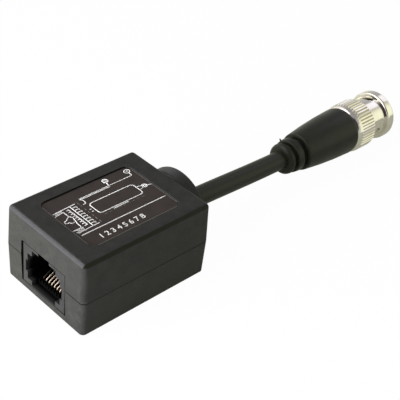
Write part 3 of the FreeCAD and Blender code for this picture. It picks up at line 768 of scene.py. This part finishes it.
# Painted shadow of the socket's side wall on the outermost wire.
shaded = axisRange(goldTree, objectAxes(goldTree)[1], *mm(*wireSettings["shaded"]), 0, 1)
deepen(contactGold, shaded, wireSettings["shadedDark"])
wireCount, pitch = wireSettings["count"], wireSettings["pitch"] * 0.001
for index, row in enumerate(wireSettings["rows"]):
    mesh = growMesh(
        sprungWires,
        lineObject([(wirePath(wireSettings, row), False)]),
        {
            "Radius": wireSettings["radius"] * 0.001,
            "Pitch": 2 * pitch,
            "First": (index - (wireCount - 1) / 2) * pitch,
            "Count": wireCount // 2,
            "Finish": contactGold,
        },
    )
    addPiece(
        ("oddWires", "evenWires")[index],
        mesh,
        contactGold,
        "adapter",
        [f"contact_{number}" for number in range(1 + index, wireCount + 1, 2)],
    )
print("socket filled")


# Label: a film with a printed line diagram

labelSettings = {
    "middle": -1.7,
    "printLevel": 20.352,
    "printThick": 0.012,
    "lineWide": 0.25,
    "thinWide": 0.12,
    "edges": (-14.77, 11.38, -9.54, 9.4),  # left, right, near and far
    "edgeRound": 0.00003,
    # Painted highlight on the film's edges, and painted shadow along its far side.
    "edgeHighlight": (0.17, 0.155, 0.147),
    "farShadowDark": 0.08,
    "film": {
        "colour": (0.0233, 0.0167, 0.0140),
        "warm": (0.0260, 0.0184, 0.0153),
        "roughness": 0.44,
        "glossRange": 0.05,
        "specular": 0.36,
        "cloudSize": 0.003,
        "grainSize": 0.00025,
        "grainDepth": 0.00001,
        "grainStrength": 0.4,
    },
    "ink": {
        "colour": (0.78, 0.77, 0.76),
        "roughness": 0.6,
        "glossRange": 0.05,
        "specular": 0.3,
        "cloudSize": 0.0006,
        "shadeRange": 0.1,
        "grainSize": 0.00012,
        "grainDepth": 0.000006,
        "grainStrength": 0.5,
    },
    "faint": {
        "colour": (0.15, 0.14, 0.13),
        "roughness": 0.6,
        "glossRange": 0.05,
        "specular": 0.3,
        "cloudSize": 0.0008,
        "shadeRange": 0.35,
        "grainSize": 0.00012,
        "grainDepth": 0.000006,
        "grainStrength": 0.5,
    },
}


def labelPath(*points, closed=False):
    level = labelSettings["printLevel"] + labelSettings["printThick"] / 2
    return [(x + labelSettings["middle"], y, level) for x, y in points], closed


def circlePath(x, y, radius, start=0, end=360, steps=20):
    points = []
    whole = end - start == 360
    for step in range(steps if whole else steps + 1):
        angle = math.radians(start + (end - start) * step / steps)
        points.append((x + radius * math.cos(angle), y + radius * math.sin(angle)))
    return labelPath(*points, closed=whole)


def loopPath(left, right, low, high, corner):
    points = []
    centres = (
        (right - corner, low + corner, 270),
        (right - corner, high - corner, 0),
        (left + corner, high - corner, 90),
        (left + corner, low + corner, 180),
    )
    for x, y, start in centres:
        for step in range(6):
            angle = math.radians(start + 18 * step)
            points.append((x + corner * math.cos(angle), y + corner * math.sin(angle)))
    return labelPath(*points, closed=True)


def dashes(start, end, y, dash, gap):
    paths = []
    x = start
    while x < end:
        paths.append(labelPath((x, y), (min(x + dash, end), y)))
        x += dash + gap
    return paths


def printTree():
    # A flat ribbon of ink along every path.
    tree, given, output = startTree(
        "printedLines",
        {"Width": ("Float", 0.0002), "Thick": ("Float", 0.00001), "Finish": ("Material", None)},
    )
    normal = addNode(tree, "GeometryNodeSetCurveNormal", mode="Z_UP")
    section = addNode(tree, "GeometryNodeCurvePrimitiveQuadrilateral")
    sweep = addNode(tree, "GeometryNodeCurveToMesh", {"Fill Caps": True})
    plug(tree, given, "Geometry", normal, "Curve")
    plug(tree, given, "Width", section, "Width")
    plug(tree, given, "Thick", section, "Height")
    plug(tree, normal, "Curve", sweep, "Curve")
    plug(tree, section, "Curve", sweep, "Profile Curve")
    endTree(tree, sweep, "Mesh", given, output)
    return tree


def tickTree():
    # Short strokes repeated at even steps from a start point.
    tree, given, output = startTree(
        "printedTicks",
        {
            "Start": ("Vector", (0, 0, 0)),
            "Step": ("Vector", (0.0003, 0, 0)),
            "Count": ("Int", 10),
            "Stroke": ("Vector", (0.0001, 0.0005, 0.00001)),
            "Finish": ("Material", None),
        },
    )
    row = addNode(tree, "GeometryNodeMeshLine", mode="OFFSET")
    bar = addNode(tree, "GeometryNodeMeshCube")
    copies = addNode(tree, "GeometryNodeInstanceOnPoints")
    plug(tree, given, "Start", row, "Start Location")
    plug(tree, given, "Step", row, "Offset")
    plug(tree, given, "Count", row, "Count")
    plug(tree, given, "Stroke", bar, "Size")
    plug(tree, row, "Mesh", copies, "Points")
    plug(tree, bar, "Mesh", copies, "Instance")
    endTree(tree, copies, "Instances", given, output)
    return tree


boldPaths = [
    circlePath(11.8, 8.05, 0.72),
    labelPath((11.5, 8.05), (12.1, 8.05)),
    labelPath((11.8, 7.75), (11.8, 8.35)),
    labelPath((11.8, 7.25), (11.8, 6.3), (11.55, 6.05), (-4.3, 6.05)),
    circlePath(5.0, 8.05, 0.72),
    *[
        circlePath(5.0, 8.05, radius, middle - half, middle + half)
        for middle in (90, 270)
        for radius, half in ((0.5, 75), (0.28, 60))
    ],
    labelPath((4.7, 7.2), (4.65, 6.05)),
    labelPath((4.5, 5.62), (-4.2, 5.62)),
    labelPath((-4.3, 6.1), (-4.25, 5.3)),
    labelPath((-4.2, 5.62), (-3.95, 4.9), (-3.95, 4.15), (-4.3, 3.8), (-5.0, 3.8)),
    loopPath(-3.85, 9.35, -1.0, 3.25, 0.85),
    labelPath((9.35, 1.9), (10.75, 1.5), (10.8, 0.75), (9.4, 0.4)),
    circlePath(11.45, 1.1, 0.62),
    circlePath(11.45, 1.1, 0.3),
    labelPath((12.1, 0.9), (13.1, 0.62)),
    labelPath((-0.1, -1.45), (4.2, -1.45)),
    labelPath((-12.3, -4.9), (12.6, -4.9)),
    labelPath((-12.9, 4.85), (-7.5, 5.1), (-6.4, 5.15)),
    labelPath((-7.95, 5.0), (-7.95, -3.6)),
    labelPath((-6.2, -3.6), (-7.95, -3.6), (-12.2, -3.85), (-12.6, -3.4)),
    labelPath((-13.0, 3.85), (-10.45, 4.2)),
    labelPath((-13.0, -2.6), (-10.1, -2.7)),
    labelPath(
        (-10.4, 4.3), (-10.36, 2.3), (-11.1, 1.77), (-11.72, 1.35), (-12.4, 1.2),
        (-12.5, 0.6), (-12.1, 0.38), (-11.5, 0.4), (-11.45, -0.02), (-11.2, -0.2), (-10.6, -0.2),
    ),
    labelPath(
        (-10.36, 2.3), (-9.86, 1.6), (-10.1, -0.1), (-10.3, -0.6), (-10.45, -2.2), (-10.6, -2.8)
    ),
    labelPath((-8.85, 4.4), (-8.75, -2.6)),
    labelPath((-4.95, 1.45), (-4.45, 1.4)),
    labelPath((-5.0, 0.65), (-4.5, 0.5)),
]
faintPaths = [
    *dashes(-3.4, 8.9, -1.9, 0.9, 0.5),
    *[labelPath((-5.65, y), (-5.65, y - 0.8)) for y in (5.2, 3.9, 2.6, 1.2, -0.1, -1.4, -2.8)],
]
tickRows = [  # start, step, count and stroke of each row
    ((-4.0, 5.83), (0.36, 0), 24, (0.13, 0.4)),
    ((-12.5, 4.4), (0.32, 0), 7, (0.12, 0.75)),
    ((-12.0, -3.2), (0.32, 0), 6, (0.12, 0.9)),
    ((-9.2, 4.15), (0, -0.83), 9, (0.75, 0.26)),
    ((-7.25, 4.2), (0, -0.98), 8, (1.3, 0.24)),
    ((-6.75, 3.95), (0, -0.98), 8, (0.24, 0.4)),
]


def finishFilm(film, settings):
    # A painted highlight along the film's left, right and near edges, and painted shadow of the
    # recess along its far side.
    tree = film.node_tree
    x, y, z = objectAxes(tree)
    left, right, near, far = mm(*settings["edges"])
    cut = settings["edgeRound"]
    rim = anyOf(
        tree,
        axisRange(tree, x, left - cut, left, 1, 0),
        axisRange(tree, x, right, right + cut, 0, 1),
        axisRange(tree, y, near - cut, near, 1, 0),
    )
    recolour(film, rim, settings["edgeHighlight"])
    deepen(film, axisRange(tree, y, far, far + maskFade, 0, 1), settings["farShadowDark"])


def makeLabel(settings):
    film = mouldedPlastic("labelFilm", settings["film"])
    finishFilm(film, settings)
    ink = mouldedPlastic("labelInk", settings["ink"])
    faint = mouldedPlastic("faintInk", settings["faint"])
    sheet = refinedMesh("label", settings["edgeRound"])
    addPiece("labelSheet", sheet, film, "adapter", ["label"])
    lines = printTree()
    for name, paths, width, finish in (
        ("printBold", boldPaths, settings["lineWide"], ink),
        ("printFaint", faintPaths, settings["thinWide"], faint),
    ):
        mesh = growMesh(
            lines,
            lineObject(paths),
            {"Width": width * 0.001, "Thick": settings["printThick"] * 0.001, "Finish": finish},
        )
        addPiece(name, mesh, finish, "adapter")
    ticks = tickTree()
    level = settings["printLevel"] + settings["printThick"] / 2
    joined = bmesh.new()
    for start, step, count, stroke in tickRows:
        base = bpy.data.objects.new("ticks", bpy.data.meshes.new("ticks"))
        bpy.context.scene.collection.objects.link(base)
        mesh = growMesh(
            ticks,
            base,
            {
                "Start": mm(start[0] + settings["middle"], start[1], level),
                "Step": mm(*step, 0),
                "Count": count,
                "Stroke": mm(*stroke, settings["printThick"]),
                "Finish": ink,
            },
        )
        joined.from_mesh(mesh)
    mesh = bpy.data.meshes.new("printTicks")
    joined.to_mesh(mesh)
    joined.free()
    addPiece("printTicks", mesh, ink, "adapter")
    return ink


labelInk = makeLabel(labelSettings)

# Plain pin numbers in a row.
numberSettings = {
    "height": 1.65,
    "fontScale": 1.35,
    "first": (-9.4, -8.3),
    "step": 1.72,
    "count": 8,
    "bold": 0.02,
}


def makeNumbers(settings, finish):
    joined = bmesh.new()
    for number in range(settings["count"]):
        data = bpy.data.curves.new("number", "FONT")
        data.body = str(number + 1)
        data.size = settings["height"] * 0.001 * settings["fontScale"]
        data.extrude = labelSettings["printThick"] * 0.001 / 2
        data.offset = settings["bold"] * 0.001
        data.resolution_u = 4
        text = bpy.data.objects.new("number", data)
        bpy.context.scene.collection.objects.link(text)
        mesh = evaluated(text)
        x = labelSettings["middle"] + settings["first"][0] + settings["step"] * number
        level = labelSettings["printLevel"] + labelSettings["printThick"] / 2
        mesh.transform(Matrix.Translation(mm(x, settings["first"][1], level)))
        joined.from_mesh(mesh)
        bpy.data.objects.remove(text)
    mesh = bpy.data.meshes.new("printNumbers")
    joined.to_mesh(mesh)
    joined.free()
    addPiece("printNumbers", mesh, finish, "adapter")


makeNumbers(numberSettings, labelInk)
print("label printed")


# Plug: boot, coupling nut and the parts inside it

plugSettings = {"centre": (54.46, 0, 8.38), "swing": 1.6, "droop": 1.52}


def plugPlace(settings):
    swing = Matrix.Rotation(math.radians(settings["swing"]), 4, "Z")
    droop = Matrix.Rotation(math.radians(settings["droop"]), 4, "Y")
    return Matrix.Translation(mm(*settings["centre"])) @ swing @ droop


plugFrame = plugPlace(plugSettings)
alongPlug = (0, -math.radians(plugSettings["droop"]), -math.radians(plugSettings["swing"]))

bootSettings = {
    "turns": 96,
    "spur": (7.9, 4.2, 5.35, 0.38, 0.133, -47),  # station, foot, tip, two radii, angle
    "outside": [  # station, radius and corner radius
        (4.3, 2.6, 0),
        (4.36, 3.38, 0.25),
        (4.56, 3.86, 0.5),
        (5.07, 4.27, 0.6),
        (5.97, 4.45, 0.3),
        (5.97, 3.4, 0.15),
        (7.37, 3.4, 0.15),
        (7.37, 4.62, 0.3),
        (9.45, 4.86, 0.3),
        (9.45, 3.69, 0.15),
        (11.25, 3.69, 0.15),
        (11.25, 5.3, 0.45),
        (17.77, 6.08, 8.0),
        (23.69, 6.56, 10.0),
        (30.0, 6.85, 2.0),
        (31.0, 6.65, 0.25),
        (31.0, 4.4, 0),
        (27.0, 4.4, 0),
        (27.0, 3.3, 0),
        (11.0, 3.3, 0),
        (11.0, 2.6, 0),
    ],
    "rubber": {
        "colour": (0.0106, 0.0121, 0.0085),
        "warm": (0.0118, 0.0130, 0.0078),
        "roughness": 0.36,
        "glossRange": 0.06,
        "specular": 0.24,
        "cloudSize": 0.005,
        "grainSize": 0.00028,
        "grainDepth": 0.00001,
        "grainStrength": 0.35,
    },
}
bootRubber = mouldedPlastic("bootRubber", bootSettings["rubber"])
addPiece(
    "bootGrip",
    lathe(
        "bootGrip",
        roundedProfile(bootSettings["outside"]),
        bootSettings["turns"],
        plugFrame,
        bootSettings["spur"],
    ),
    bootRubber,
    "adapter",
    ["boot"],
)
print("boot moulded")

metalSettings = {
    "edgeRound": 0.00006,
    "sleeveRound": 0.00004,
    "nutSharp": 24,  # degrees past which an edge is broken
    "sleeveSharp": 30,
    "knurl": (33.1, 38.5),
    "grooves": (6.3, 7.0, 7.14),  # radius of the floor, of full shade and of none
    "grooveColour": (0.66, 0.63, 0.54),
    "nickel": {
        "colour": (0.84, 0.82, 0.76),
        "tarnish": (0.78, 0.75, 0.66),
        "roughness": 0.13,
        "stretch": (9, 0.25, 0.25),
        "turn": alongPlug,
        "lineSize": 0.0012,
        "lineDepth": 0.000002,
        "lineStrength": 0.08,
        "cloudSize": 0.003,
    },
}
nickel = turnedMetal("nickel", metalSettings["nickel"])


def grooveMask(tree, settings):
    # One in the knurl's grooves: between two stations of the plug, just under its crests.
    axis = plugFrame.to_3x3() @ Vector((1, 0, 0))
    spot = addNode(tree, "ShaderNodeTexCoord")
    away = addNode(
        tree, "ShaderNodeVectorMath", {1: plugFrame.translation}, operation="SUBTRACT"
    )
    along = addNode(tree, "ShaderNodeVectorMath", {1: axis}, operation="DOT_PRODUCT")
    across = addNode(tree, "ShaderNodeVectorMath", {1: axis}, operation="CROSS_PRODUCT")
    radius = addNode(tree, "ShaderNodeVectorMath", operation="LENGTH")
    plug(tree, spot, "Object", away, 0)
    plug(tree, away, "Vector", along, 0)
    plug(tree, away, "Vector", across, 0)
    plug(tree, across, "Vector", radius, 0)
    near, far = mm(*settings["knurl"])
    inner, low, high = mm(*settings["grooves"])
    station, depth = along.outputs["Value"], radius.outputs["Value"]
    return allOf(
        tree,
        axisRange(tree, station, near - maskFade, near, 0, 1),
        axisRange(tree, station, far, far + maskFade, 1, 0),
        axisRange(tree, depth, inner - maskFade, inner, 0, 1),
        axisRange(tree, depth, low, high, 1, 0),
    )


grooves = grooveMask(nickel.node_tree, metalSettings)
recolour(nickel, grooves, metalSettings["grooveColour"], "MULTIPLY")
addPiece(
    "couplingNut",
    refinedMesh("coupling_nut", metalSettings["edgeRound"], metalSettings["nutSharp"]),
    nickel,
    "nut",
    ["coupling_nut"],
)
addPiece(
    "contactSleeve",
    refinedMesh("plug_body", metalSettings["sleeveRound"], metalSettings["sleeveSharp"]),
    nickel,
    "adapter",
    ["plug_body"],
)
print("nut turned")


# Finishes of the nodes that keep their own shape

plainFinishes = {
    "insulator": ("ptfe", (0.80, 0.79, 0.75), 0.45),
    "inner_insulation": ("polythene", (0.74, 0.73, 0.68), 0.5),
    "cable_dielectric": ("polythene", (0.74, 0.73, 0.68), 0.5),
    "gasket": ("sealRubber", (0.03, 0.03, 0.03), 0.6),
    "circuit_board": ("boardResin", (0.015, 0.11, 0.035), 0.4),
    "balun_core": ("ferrite", (0.045, 0.045, 0.048), 0.55),
    "cable_collar": ("bootRubberInner", (0.02, 0.02, 0.02), 0.5),
}
metalFinishes = {
    "centre_pin": ("pinGold", (0.92, 0.68, 0.30), (0.82, 0.58, 0.25), 0.2),
    "crimp_ferrule": ("ferruleNickel", (0.80, 0.79, 0.74), (0.7, 0.68, 0.62), 0.25),
    "thrust_washer": ("washerSteel", (0.66, 0.65, 0.63), (0.55, 0.54, 0.52), 0.25),
    "wave_washer": ("washerSteel", (0.66, 0.65, 0.63), (0.55, 0.54, 0.52), 0.25),
    "cable_wire": ("copper", (0.80, 0.42, 0.26), (0.62, 0.32, 0.2), 0.25),
    "winding_a": ("enamelWire", (0.62, 0.23, 0.08), (0.5, 0.18, 0.06), 0.3),
    "winding_b": ("enamelWire", (0.62, 0.23, 0.08), (0.5, 0.18, 0.06), 0.3),
}
finishes = {}


def paintNode(nodeName, material):
    nodes[nodeName].data.materials.clear()
    nodes[nodeName].data.materials.append(material)


for nodeName, (finish, colour, roughness) in plainFinishes.items():
    if finish not in finishes:
        finishes[finish] = mouldedPlastic(
            finish,
            {
                "colour": colour,
                "roughness": roughness,
                "glossRange": 0.06,
                "specular": 0.4,
                "cloudSize": 0.0025,
                "grainSize": 0.00025,
                "grainDepth": 0.00001,
                "grainStrength": 0.4,
            },
        )
    paintNode(nodeName, finishes[finish])
for nodeName, (finish, colour, tarnish, roughness) in metalFinishes.items():
    if finish not in finishes:
        finishes[finish] = turnedMetal(
            finish,
            {
                "colour": colour,
                "tarnish": tarnish,
                "roughness": roughness,
                "stretch": (4, 0.5, 0.5),
                "lineSize": 0.0006,
                "lineDepth": 0.000004,
                "lineStrength": 0.25,
                "cloudSize": 0.002,
            },
        )
    paintNode(nodeName, finishes[finish])
print("inner pieces finished")


# Table, surroundings and lamps

studioSettings = {
    "tableSize": 3.0,
    "tableLevel": -0.00003,
    "tableColour": (0.88, 0.88, 0.88),
    "seenGlow": 0.975,
    "mirrorGlow": 0.8,
    "mirrorLevel": 0.42,
    "mirrorBehind": 0.85,
    "mirrorSpan": (3.0, 12.0),
    "mirrorColour": (1, 1, 0.79),
    "worldFill": (0.247, 0.25, 0.232),
    "skyLow": (0.66, 0.66, 0.60),
    "skyMiddle": (0.48, 0.46, 0.475),
    "skyHigh": (0.34, 0.33, 0.34),
    "patches": (  # direction, edge, full strength and colour
        ((0.60, -0.76, 0.25), 0.70, 0.96, (1.12, 1.13, 0.88)),
        ((-0.25, 0.88, 0.40), 0.72, 0.95, (1.15, 1.08, 1.05)),
        ((-0.72, -0.55, 0.42), 0.82, 0.94, (0.05, 0.04, 0.045)),
        ((-0.97, 0.12, 0.20), 0.93, 0.985, (2.4, 2.3, 2.3)),
        ((-0.56, 0.46, 0.69), 0.87, 0.97, (2.5, 2.42, 2.5)),
        ((0.78, 0.06, 0.62), 0.955, 0.985, (1.2, 1.18, 1.29)),
    ),
    "lamps": {  # place, target, width, height, radiance and colour
        "keyLamp": ((-400, 230, 550), (0, 0, 8), 340, 320, 5.3, (1, 1, 1)),
        "frontLamp": ((-355, 20, 66), (-20, 0, 10), 320, 120, 39.5, (0.98, 0.985, 1.03)),
        "topLamp": ((60, 60, 800), (20, 0, 10), 600, 600, 0.68, (1, 1, 0.98)),
        "rightLamp": ((320, -620, 240), (60, 0, 10), 460, 240, 0.45, (0.98, 1, 0.86)),
    },
}


def makeTable(settings):
    mesh = bpy.data.meshes.new("tableTop")
    half = settings["tableSize"] / 2
    level = settings["tableLevel"]
    sides = ((-half, -half), (half, -half), (half, half), (-half, half))
    mesh.from_pydata([(x, y, level) for x, y in sides], [], [(0, 1, 2, 3)])
    table = bpy.data.objects.new("tableTop", mesh)
    bpy.context.scene.collection.objects.link(table)
    material = bpy.data.materials.new("paleTable")
    material.use_nodes = True
    tree = material.node_tree
    tree.nodes.remove(tree.nodes["Principled BSDF"])
    ray = addNode(tree, "ShaderNodeLightPath")
    matte = addNode(tree, "ShaderNodeBsdfDiffuse", {"Color": (*settings["tableColour"], 1)})
    glow = addNode(tree, "ShaderNodeEmission")
    strength = addNode(tree, "ShaderNodeMapRange", {"To Max": 1.0})
    y = objectAxes(tree)[1]
    near, behind = settings["mirrorLevel"], settings["mirrorBehind"]
    mirrored = axisRange(tree, y, *mm(*settings["mirrorSpan"]), near, behind)
    tree.links.new(mirrored, strength.inputs["To Min"])
    plug(tree, ray, "Is Camera Ray", strength, "Value")
    plug(tree, strength, "Result", glow, "Strength")
    seen = ray.outputs["Is Camera Ray"]
    tone = mixColours(tree, seen, settings["mirrorColour"], (1, 1, 1))
    tree.links.new(tone, glow.inputs["Color"])
    shares = []
    for kind, share in (
        ("Is Camera Ray", settings["seenGlow"]),
        ("Is Glossy Ray", settings["mirrorGlow"]),
        ("Is Transmission Ray", settings["mirrorGlow"]),
    ):
        scaled = addNode(tree, "ShaderNodeMath", {1: share}, operation="MULTIPLY")
        plug(tree, ray, kind, scaled, 0)
        shares.append(scaled.outputs["Value"])
    blend = addNode(tree, "ShaderNodeMixShader")
    tree.links.new(anyOf(tree, *shares), blend.inputs[0])
    tree.links.new(matte.outputs[0], blend.inputs[1])
    tree.links.new(glow.outputs[0], blend.inputs[2])
    tree.links.new(blend.outputs[0], tree.nodes["Material Output"].inputs["Surface"])
    mesh.materials.append(material)


def makeWorld(settings):
    # Even fill for the light, and a sky with bright and dark patches for what shines.
    world = bpy.data.worlds.new("surroundings")
    bpy.context.scene.world = world
    world.use_nodes = True
    tree = world.node_tree
    background = tree.nodes["Background"]
    ray = addNode(tree, "ShaderNodeLightPath")
    place = addNode(tree, "ShaderNodeTexCoord")
    split = addNode(tree, "ShaderNodeSeparateXYZ")
    lift = addNode(tree, "ShaderNodeMapRange", {"From Min": -1.0, "From Max": 1.0})
    heights = addNode(tree, "ShaderNodeValToRGB")
    ramp = heights.color_ramp
    ramp.elements[0].position = 0.5
    ramp.elements[0].color = (*settings["skyLow"], 1)
    ramp.elements[1].position = 0.98
    ramp.elements[1].color = (*settings["skyHigh"], 1)
    ramp.elements.new(0.74).color = (*settings["skyMiddle"], 1)
    plug(tree, place, "Generated", split, "Vector")
    plug(tree, split, "Z", lift, "Value")
    plug(tree, lift, "Result", heights, "Fac")
    sky = heights.outputs["Color"]
    for toward, start, end, colour in settings["patches"]:
        facing = addNode(tree, "ShaderNodeVectorMath", {1: toward}, operation="DOT_PRODUCT")
        plug(tree, place, "Generated", facing, 0)
        inside = axisRange(tree, facing.outputs["Value"], start, end, 0, 1)
        sky = mixColours(tree, inside, sky, colour)
    shining = mixColours(tree, ray.outputs["Is Glossy Ray"], settings["worldFill"], sky)
    shown = mixColours(tree, ray.outputs["Is Camera Ray"], shining, (1, 1, 1))
    tree.links.new(shown, background.inputs["Color"])
    background.inputs["Strength"].default_value = 1.0


def makeLamp(name, spot, target, wide, tall, radiance, colour):
    data = bpy.data.lights.new(name, "AREA")
    data.shape = "RECTANGLE"
    data.size = wide * 0.001
    data.size_y = tall * 0.001
    data.energy = radiance * math.pi * data.size * data.size_y
    data.color = colour
    lamp = bpy.data.objects.new(name, data)
    lamp.visible_glossy = False
    toward = Vector(mm(*target)) - Vector(mm(*spot))
    turn = toward.to_track_quat("-Z", "Y").to_matrix().to_4x4()
    lamp.matrix_world = Matrix.Translation(mm(*spot)) @ turn
    bpy.context.scene.collection.objects.link(lamp)


makeTable(studioSettings)
makeWorld(studioSettings)
for name, values in studioSettings["lamps"].items():
    makeLamp(name, *values)
bpy.context.scene.view_settings.view_transform = "Standard"
print("studio lit")
